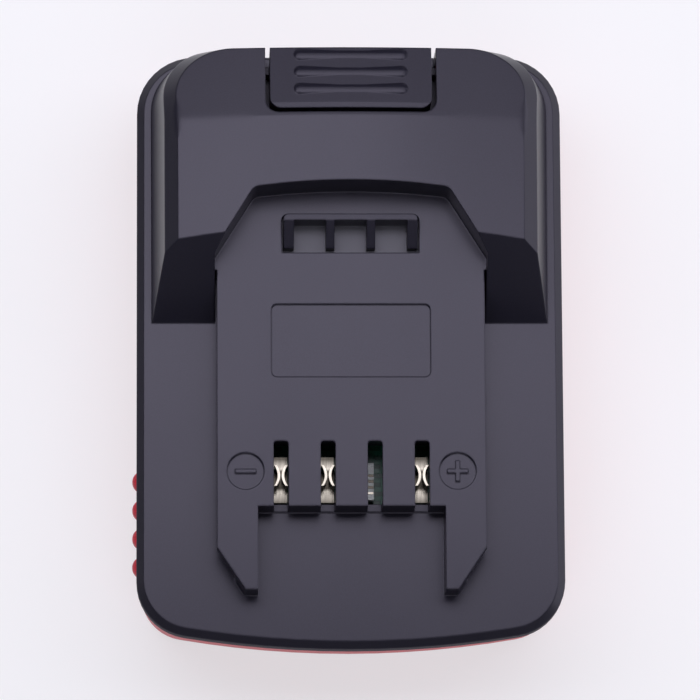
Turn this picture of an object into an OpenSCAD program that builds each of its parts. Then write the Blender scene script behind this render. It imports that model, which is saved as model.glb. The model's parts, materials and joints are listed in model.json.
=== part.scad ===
// Slide-on battery adapter for cordless tools.
// The black upper housing carries the rail platform that a tool slides onto, with its
// terminal slots, release button and catch. The red lower housing is the bay that takes
// a battery pack of another make. A circuit board between them joins the two sets of terminals.
// Millimetres. X runs across, +Y points to the release button, +Z is up, and the origin is
// the middle of the footprint on the surface that the adapter stands on.

/* [Housing] */
// Width across the flange
body_w = 80; // [77:0.5:86]
// Length from the crown of the bowed front edge to the rear edge
body_l = 113.2; // [111:0.2:120]
// Radius of the bow in the front edge
front_bow_r = 190; // [150:5:300]
// Plan radius of the front corners
front_corner_r = 10.5; // [8:0.5:12]
// Plan radius of the rear corners
rear_corner_r = 11; // [9:0.5:13]
// Height of the lower housing up to the seam
lower_h = 24; // [23:0.5:27]
// Height of the upper housing's flange from the seam to the deck
flange_h = 4; // [3.8:0.1:5]
// Width of the chamfer along the deck's edge
deck_edge_w = 1.4; // [0.8:0.1:2]
// Wall thickness of the upper housing
wall = 2.2; // [1.8:0.1:2.4]
// How far the lower housing stands back from the flange at the seam
seam_step = 0.1; // [0.05:0.05:0.5]
// Height of the lip that the lower housing reaches into the flange with
seam_lip_h = 1.2; // [0.8:0.1:1.3]

/* [Hump] */
// Length of the hump from its raked foot to the rear edge of the housing
hump_l = 51.6; // [50:0.1:53]
// Height of the hump's crown above the deck
hump_h = 17.7; // [16.5:0.1:20]
// Width of flange left beside the foot of the hump
hump_side_step = 2.7; // [2:0.1:4]
// Width of flange left behind the foot of the hump
hump_rear_step = 1.1; // [0.8:0.1:2]
// Height of the shoulder above the deck, where the side chamfer starts
hump_shoulder_h = 12.5; // [11:0.5:13.5]
// How far each side leans in from the deck to the shoulder
hump_side_lean = 2.5; // [1:0.1:3]
// How far each side draws in from the crease towards the front
hump_taper = 0.2; // [0.1:0.1:0.6]
// How far the rear leans in from the deck to the shoulder
hump_rear_lean = 0.7; // [0.3:0.1:1.2]
// Plan radius of the hump's rear corners at the deck
hump_corner_r = 10; // [9:0.2:12]
// Angle of the raked front of the shoulders from level, in degrees
rake_angle = 49.2; // [45:0.2:60]
// Radius of the crown across the top of the hump
crown_r = 196; // [150:2:300]
// Distance from the rear edge to the crease where the top starts to fall
crease_setback = 15.5; // [15:0.1:16.6]
// Fall of the top behind the crease, in degrees
rear_fall = 12; // [8:0.5:15]
// How far behind that crease the side chamfers start to fall
chamfer_lag = 0.3; // [0.2:0.1:1]

/* [Rail platform] */
// Width of the rail plate
rail_w = 50; // [47:0.5:52]
// Height of the platform's top above the deck
platform_h = 7.4; // [7:0.1:9]
// Thickness of the rail plate that the tool's rails hold under
rail_t = 3.2; // [2.5:0.1:4]
// Width of the neck under the rail plate
neck_w = 43; // [41:0.5:45]
// Distance from the front edge of the housing to the prong tips
tip_setback = 10; // [8:0.2:12]
// Length of each prong, from the contact block to its tip
prong_l = 15.6; // [13:0.2:17]
// Clear width between the prongs
notch_w = 34.8; // [33:0.2:36]
// Width of a prong at its tip
tip_w = 2.4; // [2:0.1:3]
// Length of the taper on the outside of a prong
taper_l = 7.8; // [5:0.2:10]
// Width of the groove between the rail plate and the shoulders
shoulder_gap = 0.4; // [0.3:0.05:0.8]
// Distance from the rear edge to the middle of the curved wall behind the platform
recess_setback = 27.9; // [27.1:0.1:29.6]
// Width of that curved wall
recess_wall_w = 36.2; // [34:0.2:40]
// Rise of that wall's curve
recess_rise = 1.1; // [0.5:0.1:2]
// Length of the slanted corner on each side of that wall
recess_corner_l = 11.7; // [10:0.1:13]
// Radius where the slanted corners meet the curved wall
recess_corner_r = 2; // [1:0.25:3]
// Thickness of the platform over the latch arm
platform_skin = 2.9; // [2.4:0.1:3]
// Width of the bare label panel
label_w = 29.7; // [24:0.1:34]
// Length of the bare label panel
label_l = 13.8; // [10:0.2:16]
// Plan radius of the label panel's corners
label_corner_r = 1.1; // [0.5:0.1:2]
// Distance from the front of the contact block to the label panel
label_setback = 24.4; // [22:0.2:27]
// Diameter of the round polarity recesses
mark_d = 6.9; // [6:0.1:7.4]
// Distance between the two polarity recesses
mark_pitch = 39.4; // [38:0.2:41]
// Distance from the front of the contact block to the polarity recesses
mark_setback = 6.6; // [5:0.1:8]
// Depth of the label panel and of the polarity recesses
mark_depth = 0.5; // [0.3:0.05:0.8]
// Length of a polarity sign
sign_l = 3.9; // [3:0.1:4.5]
// Width of the bars of a polarity sign
sign_w = 0.8; // [0.6:0.05:1]
// How far a polarity sign stays below the platform
sign_sink = 0.1; // [0.05:0.05:0.2]

/* [Tool terminals] */
// Distance between neighbouring terminal slots
slot_pitch = 8.74; // [8.2:0.02:9]
// Width of a terminal slot
slot_w = 2.74; // [2.6:0.02:3]
// Length of a terminal slot from the front of the contact block
slot_l = 12.25; // [11.5:0.05:13]
// Height of a slot's sill above the deck
slot_sill = 0.4; // [0.2:0.1:1]
// Width of the chamber under a slot
chamber_w = 4.4; // [4:0.1:5]
// Thickness of the skin over the chambers
chamber_skin = 1.6; // [1.2:0.1:2]
// Thickness of the wall in front of the chambers
chamber_wall = 1.5; // [1:0.1:2]
// How far a chamber runs on behind its slot
chamber_run = 0.8; // [0.4:0.1:1.2]
// Length of a terminal clip
clip_l = 8.6; // [7.5:0.1:10]
// Width of a terminal clip
clip_w = 2.5; // [2.2:0.05:2.6]
// Length of the pinched leaves of a clip
leaf_l = 3.9; // [3:0.1:5]
// Sheet thickness of a terminal clip
clip_t = 0.45; // [0.35:0.05:0.5]
// Gap left between the two leaves of a clip
clip_pinch = 0.3; // [0.2:0.05:0.6]
// Distance from the slot's sill down to the floor of a clip
clip_sink = 0.2; // [0.1:0.05:0.4]
// Width of the legs that a clip stands on
leg_w = 1.2; // [1:0.1:1.6]
// Distance from the end of a clip to its leg
leg_setback = 1.3; // [0.8:0.1:1.8]
// How far the legs reach through the board
leg_reach = 0.5; // [0.3:0.1:1]

/* [Pack terminals] */
// Distance between neighbouring blades in the pack bay
blade_pitch = 13.1; // [12.6:0.1:14]
// Thickness of a blade
blade_t = 0.8; // [0.6:0.1:1]
// Height of a blade
blade_h = 6; // [5:0.25:7]
// Chamfer on the tip of a blade
blade_tip = 1.5; // [0.8:0.1:2]
// Length of a blade that stands clear of its carrier
blade_reach = 16; // [12:0.5:18]
// Distance from the roof of the bay to the top of a blade
blade_drop = 5; // [4:0.1:6]
// Length of the tail that joins a blade to the board
tail_l = 3; // [2:0.1:4]
// Distance from the end of the bay to that tail
tail_setback = 3; // [2.5:0.1:4]
// How far that tail stands out over the board
tail_reach = 1; // [0.5:0.1:1.2]
// Width of the block that carries the blades
carrier_w = 40; // [34:0.5:42]
// Length of that block
carrier_l = 10; // [9:0.1:12]
// Height of that block
carrier_h = 13; // [12:0.1:13.4]
// Chamfer on the lower edge of that block
carrier_edge = 1.2; // [0.5:0.1:2]

/* [Release latch] */
// Travel of the button
latch_travel = 4; // [3:0.1:4.2]
// Width of the button
button_w = 30.2; // [28:0.2:32]
// Gap round the button
button_gap = 0.85; // [0.6:0.05:1.2]
// Distance from the crease to the front of the button's recess
button_setback = 0.65; // [0.4:0.05:1]
// Height of the button's skirt, down from the crown of the hump
button_skirt = 10.9; // [10:0.1:11.1]
// Plan radius of the button's front corners
button_corner_r = 2.1; // [1:0.1:2.5]
// Length of the lip along the front of the button
lip_l = 1; // [0.8:0.1:2]
// Fall of that lip towards the front, in degrees
lip_fall = 5; // [3:1:16]
// Number of grip ribs on the button
grip_count = 3; // [2:1:3]
// Distance between neighbouring grip ribs
grip_pitch = 3.5; // [3:0.1:3.8]
// Distance from the button's rear edge to the first grip rib
grip_setback = 1.3; // [1.1:0.1:2]
// Length of a grip rib
grip_l = 23; // [18:0.5:26]
// Radius of a grip rib's round profile
grip_r = 2.1; // [1.5:0.1:2.6]
// Height of a grip rib above the button
grip_rise = 0.12; // [0.08:0.02:0.2]
// Width of the catch
catch_w = 25; // [22:0.5:27]
// Length of the catch along the platform
catch_l = 5.9; // [5.5:0.1:7]
// Height of the catch above the platform
catch_rise = 2.6; // [2:0.1:2.8]
// Distance from the rear edge to the back of the catch
catch_setback = 32.7; // [32.1:0.1:34.6]
// Thickness of the catch's rear wall
catch_back_t = 1.2; // [1:0.1:1.6]
// Plan radius of the catch's rear corners
catch_corner_r = 0.9; // [0.4:0.1:0.9]
// Thickness of the two outer ribs of the catch
catch_side_t = 1.9; // [1.4:0.1:2.4]
// Thickness of the two inner ribs of the catch
catch_rib_t = 1.6; // [1.2:0.1:2]
// Depth of the foot of the catch's ramp below the platform
ramp_drop = 1; // [0.5:0.1:1.5]
// Gap round the catch in its window
catch_gap = 0.35; // [0.3:0.05:0.6]
// Gap in front of the catch in its window
catch_front_gap = 1; // [0.6:0.05:1.4]
// Thickness of the arm between the button and the catch
arm_t = 2.4; // [2:0.1:2.6]
// Thickness of the apron that closes the button's recess from inside
apron_t = 1.5; // [1:0.1:2]
// How far that apron and the arm reach past the gaps round the button and the catch
apron_lap = 1.5; // [0.8:0.1:2.5]
// Diameter of the posts that guide the latch
post_d = 4; // [3:0.1:4.2]
// Distance between the two posts
post_pitch = 18; // [16:0.5:19]
// Distance from the rear of the button to the posts
post_setback = 7.9; // [7.6:0.1:8.2]
// Length of the posts that reaches into the latch at rest
post_reach = 3.2; // [2:0.1:3.6]
// Wall of the latch round a guide socket
socket_wall = 2; // [1.5:0.1:2.2]
// Wire diameter of the latch springs
spring_wire_d = 0.7; // [0.5:0.05:0.8]
// Turns of a latch spring
spring_turns = 6.5; // [5:0.5:8]
// Room between a post and its spring
spring_room = 0.35; // [0.2:0.05:0.5]

/* [Pack bay] */
// Width of the bay between its side walls
bay_w = 52; // [48:0.5:53]
// Distance from the seam down to the roof of the bay
bay_drop = 7; // [6.5:0.25:8]
// Width of each ledge that holds the pack's rails
ledge_w = 4; // [3:0.25:5]
// Thickness of each ledge
ledge_t = 3.5; // [2.5:0.25:4]
// Length of the lead-in at the open end of each ledge
lead_in = 2.5; // [1:0.25:4]
// Distance from the front edge of the housing to the end of the bay
bay_setback = 15.3; // [14.5:0.1:17]
// Wall thickness of the bay
bay_wall = 2.2; // [1.8:0.1:2.6]
// Thickness of the bay's roof
roof_t = 2; // [1.6:0.1:2.4]
// Wall thickness of the lower housing's skin
skin_t = 3.2; // [2.9:0.1:3.4]
// How far the sides and rear of the lower housing lean in at the bottom
side_lean = 0.7; // [0.3:0.1:1.2]
// How far the front of the lower housing leans in at the bottom
front_lean = 2.9; // [1:0.1:3.4]
// Radius of the rounded bottom edge
bottom_edge_r = 1.2; // [0.6:0.1:1.6]
// Number of grip ribs on each side of the lower housing
side_rib_count = 4; // [3:1:5]
// Distance between neighbouring side ribs
side_rib_pitch = 5.46; // [5:0.02:6]
// Radius of a side rib
side_rib_r = 2.05; // [1.5:0.05:2.2]
// How far a side rib stands out past the flange
side_rib_proud = 0.9; // [0.5:0.1:1.2]
// Distance from the front edge of the housing to the middle of the side ribs
side_rib_setback = 25.9; // [24:0.1:35]
// Length of a side rib between its round ends
side_rib_l = 1.2; // [0.5:0.1:10]
// Width of the pocket that takes the pack's own catch
strike_w = 24; // [20:0.5:26]
// Length of that pocket
strike_l = 6; // [5:0.25:6.5]
// Depth of that pocket above the bay
strike_h = 4.6; // [4.2:0.1:4.8]
// Distance from the rear edge to the middle of that pocket
strike_setback = 19.9; // [19.6:0.1:22.6]

/* [Circuit board] */
// Width of the board
board_w = 42; // [40:0.5:44]
// Length of the board
board_l = 38; // [37:0.5:42]
// Thickness of the board
board_t = 1.6; // [1:0.1:1.6]
// Gap under the board
board_lift = 3.4; // [3:0.1:3.6]
// Distance from the end of the bay to the board's front edge
board_setback = 2; // [1.6:0.1:2.2]
// Distance from a side edge of the board to a screw
board_screw_inset = 4.2; // [3.8:0.1:4.6]
// Distance from the rear edge of the board to its screws
board_screw_setback = 6; // [4:0.1:8]
// Distance from the front edge of the board to its plain standoffs
standoff_setback = 3; // [2.5:0.1:5]
// Width of the sense connector
connector_w = 1.85; // [1.5:0.05:2.2]
// Length of the sense connector
connector_l = 7; // [6:0.1:7.5]
// Height of the sense connector
connector_h = 4.2; // [3:0.1:5]
// Distance from the end of the slot to the sense connector
connector_setback = 2.9; // [2.5:0.1:4]
// Number of contacts in the sense connector
contact_count = 4; // [2:1:5]
// Distance between neighbouring contacts
contact_pitch = 1.1; // [0.9:0.05:1.15]
// Width of a contact
contact_w = 0.4; // [0.3:0.05:0.5]
// Width of a power transistor
transistor_w = 6.4; // [5:0.1:7]
// Length of a power transistor
transistor_l = 5.6; // [4:0.1:6]
// Height of a power transistor
transistor_h = 2.2; // [1.6:0.1:2.6]
// Distance between the two power transistors
transistor_pitch = 17; // [15:0.5:18]
// Length of a transistor's leads and of its tab
lead_l = 1.8; // [1:0.1:2]
// Width of a transistor's lead
lead_w = 0.8; // [0.5:0.1:1]
// Distance between a transistor's leads
lead_pitch = 4.2; // [3:0.1:4.2]
// Width of a transistor's tab
tab_w = 5.2; // [4:0.1:5.4]
// Sheet thickness of a transistor's leads and tab
lead_t = 0.6; // [0.4:0.1:0.8]
// Diameter of the capacitor
capacitor_d = 6; // [5:0.1:6.3]
// Height of the capacitor
capacitor_h = 6.4; // [5:0.1:7]
// Height of the collar at the capacitor's foot
collar_h = 0.9; // [0.5:0.1:1.5]
// How far that collar stands out
collar_step = 0.3; // [0.1:0.05:0.4]

/* [Fasteners] */
// Distance from the side of the flange to a housing screw
screw_inset = 7.6; // [7.4:0.1:8]
// Distance from the front edge to the front housing screws
screw_front = 15.3; // [14:0.1:18]
// Distance from the rear edge to the rear housing screws
screw_rear = 11.9; // [11:0.1:13.6]
// How far the bosses of the upper housing reach down below the seam
boss_drop = 4; // [3:0.1:4.5]
// Height of plastic between a housing screw's head and the boss that it pulls on
screw_seat_t = 8.2; // [7:0.1:9]
// Core diameter of a housing screw
screw_d = 2.4; // [2:0.1:2.8]
// Head diameter of a housing screw
screw_head_d = 5.6; // [4.8:0.1:5.8]
// Head height of a housing screw
screw_head_h = 2.2; // [1.6:0.1:2.6]
// Length of a housing screw under its head
screw_l = 13; // [11:0.5:13.5]
// Wall round a counterbore
tower_wall = 1.4; // [1.2:0.1:1.6]
// Wall of the boss that a housing screw bites into
boss_wall = 2.3; // [1.8:0.1:2.6]
// Core diameter of the small screws in the board and the blade carrier
small_screw_d = 1.8; // [1.4:0.1:2]
// Head diameter of the small screws
small_head_d = 4.3; // [3.6:0.1:4.6]
// Head height of the small screws
small_head_h = 1.6; // [1.2:0.1:1.6]
// Depth that a small screw bites to
small_bite = 4.6; // [3:0.1:4.8]

/* [Clearances] */
// Clearance between parts that are assembled and stay put
fit_gap = 0.1; // [0.05:0.01:0.15]
// Clearance round a screw that bites, and round a part that is held tight
tight_gap = 0.05; // [0.02:0.01:0.08]
// Clearance round a screw head or shank that passes through
screw_gap = 0.4; // [0.2:0.05:0.5]
// Clearance between parts that slide on each other
slide_gap = 0.1; // [0.05:0.01:0.15]
// Clearance between a part and the stop or wall that it rests beside
stop_gap = 0.3; // [0.2:0.05:0.4]

/* [Hidden] */
$fn = 48;

// Segments of a corner arc and of a long bow, and levels of a rounded edge, in lofted outlines
corner_steps = 10;
bow_steps = 12;
edge_steps = 5;
// Segments of the hump's rear corners
hump_steps = 18;
// Segments of a small rounded corner, and of the wide crown
round_steps = 5;
crown_steps = 17;
// How far a cut runs past the surface that it opens
past = 2;
// How deep a part is sunk into the one that it is fused with
weld = 1;

black = [0.075, 0.075, 0.09];
red = [0.72, 0.03, 0.05];
nickel = [0.78, 0.76, 0.7];
board_green = [0.05, 0.3, 0.17];
steel = [0.6, 0.6, 0.62];
zinc = [0.68, 0.69, 0.71];

// Heights
deck_z = lower_h + flange_h;
platform_z = deck_z + platform_h;
hump_z = deck_z + hump_h;
shoulder_z = deck_z + hump_shoulder_h;
bay_h = lower_h - bay_drop;
roof_z = bay_h + roof_t;
board_z = roof_z + board_lift;
board_top_z = board_z + board_t;
ceiling_z = platform_z - platform_skin;

// Places along Y
front_y = -body_l / 2;
rear_y = body_l / 2;
rake_foot_y = rear_y - hump_l;
crease_y = rear_y - crease_setback;
chamfer_y = crease_y + chamfer_lag;
hump_rear_y = rear_y - hump_rear_step;
tip_y = front_y + tip_setback;
block_y = tip_y + prong_l;
slot_end_y = block_y + slot_l;
recess_y = rear_y - recess_setback;
recess_low_y = recess_y - recess_rise - recess_corner_l;
bay_y = front_y + bay_setback;
carrier_y = bay_y + carrier_l;

// Half widths
shoulder_x = rail_w / 2 + shoulder_gap;
hump_half = body_w / 2 - hump_side_step;
bay_half = bay_w / 2;

// Fasteners
housing_screw_places = [for (sx = [-1, 1], y = [front_y + screw_front, rear_y - screw_rear])
    [sx * (body_w / 2 - screw_inset), y]];
boss_z = lower_h - boss_drop;
screw_seat_z = boss_z - screw_seat_t;
screw_tip_z = screw_seat_z + screw_l;
tower_r = screw_head_d / 2 + screw_gap + tower_wall;
boss_r = screw_d / 2 + boss_wall;
small_r = small_screw_d / 2;

// The four terminal slots from the negative side, the three that hold clips, and the open one
slot_x = [for (i = [-1.5:1.5]) i * slot_pitch];
clip_slots = [0, 1, 3];
open_slot = 2;
chamber_y0 = block_y + chamber_wall;
chamber_y1 = slot_end_y + chamber_run;
chamber_z = platform_z - chamber_skin;
slot_floor_z = deck_z + slot_sill;
clip_y0 = chamber_y0 + stop_gap;
clip_y1 = clip_y0 + clip_l;
clip_floor_z = slot_floor_z - clip_sink;
clip_top_z = chamber_z - stop_gap;
leg_places = [clip_y0 + leg_setback, clip_y1 - leg_setback];

// The blades in the bay
blade_x = [-blade_pitch, 0, blade_pitch];
blade_top_z = bay_h - blade_drop;
blade_low_z = blade_top_z - blade_h;
tail_y0 = bay_y + tail_setback;
tail_y1 = tail_y0 + tail_l;
blade_y0 = tail_y0 - weld;
blade_y1 = carrier_y + blade_reach;
tail_top_z = board_top_z + tail_reach;
carrier_screw_x = blade_pitch / 2;
carrier_screw_y = (tail_y0 + tail_y1) / 2;

// The board and the connector on it
board_y0 = bay_y + board_setback;
board_y1 = board_y0 + board_l;
board_screw_x = board_w / 2 - board_screw_inset;
board_screw_y = board_y1 - board_screw_setback;
standoff_y = board_y0 + standoff_setback;
connector_high = [slot_x[open_slot] - chamber_w / 2 + stop_gap + connector_w,
    slot_end_y - connector_setback, board_top_z + connector_h];
connector_low = connector_high - [connector_w, connector_l, connector_h];

// The latch
catch_y1 = rear_y - catch_setback;
catch_y0 = catch_y1 - catch_l;
catch_back_y = catch_y1 - catch_back_t;
catch_z = platform_z + catch_rise;
window_y = catch_y0 - catch_front_gap;
window_half = catch_w / 2 + catch_gap;
arm_z = ceiling_z - stop_gap;
arm_under_z = arm_z - arm_t;
notch_y = crease_y + button_setback;
button_y0 = notch_y + button_gap;
button_y1 = hump_rear_y - hump_rear_lean;
button_under_z = hump_z - button_skirt;
notch_floor_z = button_under_z - latch_travel - stop_gap;
post_y = button_y1 - post_setback;
post_x = post_pitch / 2;
post_top_z = arm_under_z + post_reach;
socket_r = post_d / 2 + slide_gap;
socket_z = post_top_z + latch_travel + stop_gap;
core_y0 = post_y - socket_r - socket_wall;
core_y1 = post_y + socket_r + socket_wall + apron_t;
core_half = max(catch_w / 2, post_x + socket_r + socket_wall / 2);

// A latch spring, as rings of points along its wire
spring_r = post_d / 2 + spring_room + spring_wire_d / 2;
spring_low_z = roof_z + tight_gap + spring_wire_d / 2;
spring_rise = arm_under_z - tight_gap - spring_wire_d / 2 - spring_low_z;
spring_rings = 8;
spring_sides = 6;

// Points of an arc about (cx, cy)
function arc(cx, cy, r, a0, a1, n) =
    [for (i = [0:n]) let (a = a0 + (a1 - a0) * i / n) [cx + r * cos(a), cy + r * sin(a)]];

function unit(v) = v / norm(v);

// Points that round the corner at b, between the points a and c
function rounded_corner(a, b, c, r) =
    let (
        u = unit(a - b),
        v = unit(c - b),
        half = acos(u * v) / 2,
        centre = b + unit(u + v) * r / sin(half),
        from = b + u * r / tan(half) - centre,
        to = b + v * r / tan(half) - centre,
        start = atan2(from[1], from[0]),
        turn = atan2(from[0] * to[1] - from[1] * to[0], from * to)
    )
    arc(centre[0], centre[1], r, start, start + turn, round_steps);

// Plan outline of the housing, drawn in by a step at the sides, the front and the rear.
// Two corner arcs at the rear, two at the front, and a bow between them that is tangent to both.
function plan(side, front, rear) =
    let (
        w = body_w / 2 - side,
        rf = front_corner_r - (side + front) / 2,
        rr = rear_corner_r - (side + rear) / 2,
        rb = front_bow_r - front,
        bow_y = front_y + front + rb,
        xc = w - rf,
        yc = bow_y - sqrt((rb - rf) * (rb - rf) - xc * xc),
        yr = rear_y - rear - rr,
        a = atan2(yc - bow_y, xc)
    )
    concat(
        arc(xc, yc, rf, a, 0, corner_steps),
        arc(w - rr, yr, rr, 0, 90, corner_steps),
        arc(rr - w, yr, rr, 90, 180, corner_steps),
        arc(-xc, yc, rf, 180, 180 - a, corner_steps),
        [for (i = [1:bow_steps - 1]) let (b = 180 - a + (180 + 2 * a) * i / bow_steps)
            [rb * cos(b), bow_y + rb * sin(b)]]
    );

// Plan outline of the hump at height z, drawn in by a wall: square at the front, where the rake
// cuts it, and round at the rear. The sides and the rear lean in.
function hump_plan(z, inset) =
    let (
        rise = (z - deck_z) / hump_shoulder_h,
        rear = inset + hump_rear_lean * rise,
        w = hump_half - inset - hump_side_lean * rise,
        y0 = rake_foot_y - hump_h,
        y1 = hump_rear_y - rear,
        r = hump_corner_r - rear
    )
    concat(
        [[hump_taper - w, y0], [w - hump_taper, y0], [w, chamfer_y]],
        arc(w - r, y1 - r, r, 0, 90, hump_steps),
        arc(r - w, y1 - r, r, 90, 180, hump_steps),
        [[-w, chamfer_y]]);

// The shoulder round the hump, drawn in by a wall: level in front and falling behind the crease
function shoulder_line(inset) =
    let (foot = hump_plan(deck_z, inset), level = hump_plan(shoulder_z, inset))
    [for (i = [0:len(foot) - 1])
        let (
            fall = max(0, level[i][1] - chamfer_y) * tan(rear_fall),
            z = shoulder_z - inset * (sqrt(2) - 1) - fall,
            p = foot[i] + (level[i] - foot[i]) * (z - deck_z) / hump_shoulder_h
        )
        [p[0], p[1], z]];

// The upper end of the chamfers, which run in at 45 degrees from the shoulder on each side
function chamfer_line(line, top_z) =
    [for (p = line) let (rise = top_z - p[2])
        [p[0] - sign(p[0]) * rise, p[1] - rise * hump_rear_lean / hump_shoulder_h, top_z]];

// An outline of the lower housing at height z, drawn in by a wall
function lower_ring(z, inset) =
    let (lean = 1 - z / lower_h, side = seam_step + inset + side_lean * lean)
    at_height(z, plan(side, seam_step + inset + front_lean * lean, side));

// Faces of a solid through a stack of rings of n points each. Its flat ends are fans of triangles,
// so that three points in line on an edge make no empty triangle.
function ring_faces(n, top) = let (m = floor(n / 2), high = top * n) concat(
    [for (i = [1:n - 2]) let (a = (m + i) % n, b = (a + 1) % n)
        each [[m, a, b], [high + m, high + b, high + a]]],
    [for (k = [0:top - 1], i = [0:n - 1]) let (a = k * n + i, b = k * n + (i + 1) % n)
        each [[a, a + n, b + n], [a, b + n, b]]]);

// An outline in the plan, set at height z
function at_height(z, outline) = [for (p = outline) [p[0], p[1], z]];

// Solid through a stack of rings with equal counts of points, of which the end ones are flat
module loft(rings) {
    polyhedron(
        points = [for (r = rings) each r],
        faces = ring_faces(len(rings[0]), len(rings) - 1));
}

// Box between two corners
module block(low, high) {
    translate(low) cube(high - low);
}

// Upright cylinder between two heights
module column(place, r, z0, z1) {
    translate([place[0], place[1], z0]) cylinder(r = r, h = z1 - z0);
}

// Prism across X from a side profile in Y and Z
module side_prism(points, width) {
    rotate([90, 0, 90]) linear_extrude(width, center = true) polygon(points);
}

// Rounded rectangle, centred
module panel(w, l, r) {
    square([w - 2 * r, l], center = true);
    square([w, l - 2 * r], center = true);
    for (sx = [-1, 1], sy = [-1, 1]) translate([sx * (w / 2 - r), sy * (l / 2 - r)]) circle(r);
}

// Turns what falls behind the line across the top at (y, z)
module tilted(y, z, fall) {
    translate([0, y, z]) rotate([-fall, 0, 0]) translate([0, -y, -z]) children();
}

// Everything under a crown across X whose top runs level along Y at height z
module crown(z) {
    half = body_w / 2 + past;
    a = asin(half / crown_r);
    rotate([90, 0, 0]) linear_extrude(4 * body_l, center = true) polygon(concat(
        arc(0, z - crown_r, crown_r, 90 + a, 90 - a, crown_steps), [[half, -body_l], [-half, -body_l]]));
}

// Everything behind the raked front of the shoulders, up from z0
module rake(inset, z0) {
    top_z = hump_z + past;
    foot_y = rake_foot_y + inset / sin(rake_angle);
    low_y = foot_y + (z0 - deck_z) / tan(rake_angle);
    high_y = foot_y + (top_z - deck_z) / tan(rake_angle);
    side_prism([[low_y, z0], [high_y, top_z], [rear_y + past, top_z], [rear_y + past, z0]], 2 * body_w);
}

// The hump: leaning sides, a raked front, and a crowned top with chamfered shoulders that
// falls behind the crease. The chamfers fade out round the rear corners.
// The same form, drawn in by a wall, is the space inside it.
module hump_form(inset, z0) {
    line = shoulder_line(inset);
    intersection() {
        loft([at_height(z0, hump_plan(z0, inset)), line, chamfer_line(line, hump_z + past)]);
        rake(inset, z0 - past);
        crown(hump_z - inset);
        tilted(crease_y, hump_z, rear_fall) crown(hump_z - inset);
    }
}

// The flange and deck of the upper housing, with a chamfered upper edge
module flange_form() {
    loft([at_height(lower_h, plan(0, 0, 0)), at_height(deck_z - deck_edge_w, plan(0, 0, 0)),
        at_height(deck_z, plan(deck_edge_w, deck_edge_w, deck_edge_w))]);
}

// Outline of the recess in the hump over the platform: slanted corners and a curved rear wall
function recess_points() =
    let (
        half = recess_wall_w / 2,
        r = (half * half + recess_rise * recess_rise) / (2 * recess_rise),
        a = asin(half / r),
        bow = arc(0, recess_y - r, r, 90 - a, 90 + a, bow_steps),
        right = [shoulder_x, recess_low_y],
        left = [-shoulder_x, recess_low_y]
    )
    concat(
        [[-shoulder_x, front_y], [shoulder_x, front_y], right],
        rounded_corner(right, bow[0], bow[2], recess_corner_r),
        [for (i = [2:bow_steps - 2]) bow[i]],
        rounded_corner(bow[bow_steps - 2], bow[bow_steps], left, recess_corner_r),
        [left]);

// Outline of the rail plate with its two prongs, cut down to a half width for the neck
function plate_points(half) =
    let (
        inner = notch_w / 2,
        tip = inner + tip_w,
        taper_y = tip_y + taper_l * (half - tip) / (rail_w / 2 - tip),
        end_y = recess_low_y + weld
    )
    [[half, end_y], [half, taper_y], [tip, tip_y], [inner, tip_y], [inner, block_y],
        [-inner, block_y], [-inner, tip_y], [-tip, tip_y], [-half, taper_y], [-half, end_y]];

// The T-shaped platform that the tool's rails hold under
module platform() {
    translate([0, 0, platform_z - rail_t]) linear_extrude(rail_t) polygon(plate_points(rail_w / 2));
    translate([0, 0, deck_z - weld])
        linear_extrude(platform_h - rail_t + 2 * weld) polygon(plate_points(neck_w / 2));
}

// Shallow panel in the platform, left bare
module label_recess() {
    translate([0, block_y + label_setback + label_l / 2, platform_z - mark_depth])
        linear_extrude(past) panel(label_w, label_l, label_corner_r);
}

// Round recess with a polarity sign standing in it, one bar for each angle
module polarity_recess(x, angles) {
    sign_h = mark_depth - sign_sink;
    translate([x, block_y + mark_setback, platform_z - mark_depth]) difference() {
        cylinder(d = mark_d, h = past);
        for (a = angles) rotate([0, 0, a]) cube([sign_l, sign_w, 2 * sign_h], center = true);
    }
}

// One terminal slot, round at its inner corners, with the chamber under it for the clip
module slot_cut(x) {
    r = slot_w / 4;
    top_z = platform_z + past;
    translate([x, 0, 0]) {
        block([-chamber_w / 2, chamber_y0, deck_z - wall - past], [chamber_w / 2, chamber_y1, chamber_z]);
        block([-slot_w / 2, block_y - past, slot_floor_z], [slot_w / 2, slot_end_y - r, top_z]);
        block([-r, block_y, slot_floor_z], [r, slot_end_y, top_z]);
        for (sx = [-1, 1]) column([sx * r, slot_end_y - r], r, slot_floor_z, top_z);
    }
}

// The space inside the upper housing, open at the seam, with the screw bosses left standing
module upper_cavity() {
    cavity_half = neck_w / 2 - wall;
    behind_y = recess_y + wall;
    difference() {
        union() {
            translate([0, 0, lower_h - past])
                linear_extrude(flange_h - wall + past) polygon(plan(wall, wall, wall));
            block([-cavity_half, chamber_y1 + wall, lower_h], [cavity_half, behind_y + weld, ceiling_z]);
            intersection() {
                hump_form(wall, deck_z - wall - past);
                union() {
                    block([-body_w, behind_y, lower_h], [body_w, rear_y, hump_z]);
                    for (side = [0, 1]) mirror([side, 0, 0])
                        block([shoulder_x + wall, rake_foot_y, lower_h], [body_w, rear_y, hump_z]);
                }
            }
        }
        for (p = housing_screw_places) column(p, boss_r, lower_h - 2 * past, hump_z);
    }
}

// Outline open to the rear with round front corners, for the button and for its recess
module button_plan(half, y0, y1, r) {
    polygon(concat(
        [[half, y1], [-half, y1]],
        rounded_corner([-half, y1], [-half, y0], [0, y0], r),
        rounded_corner([0, y0], [half, y0], [half, y1], r)));
}

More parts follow.
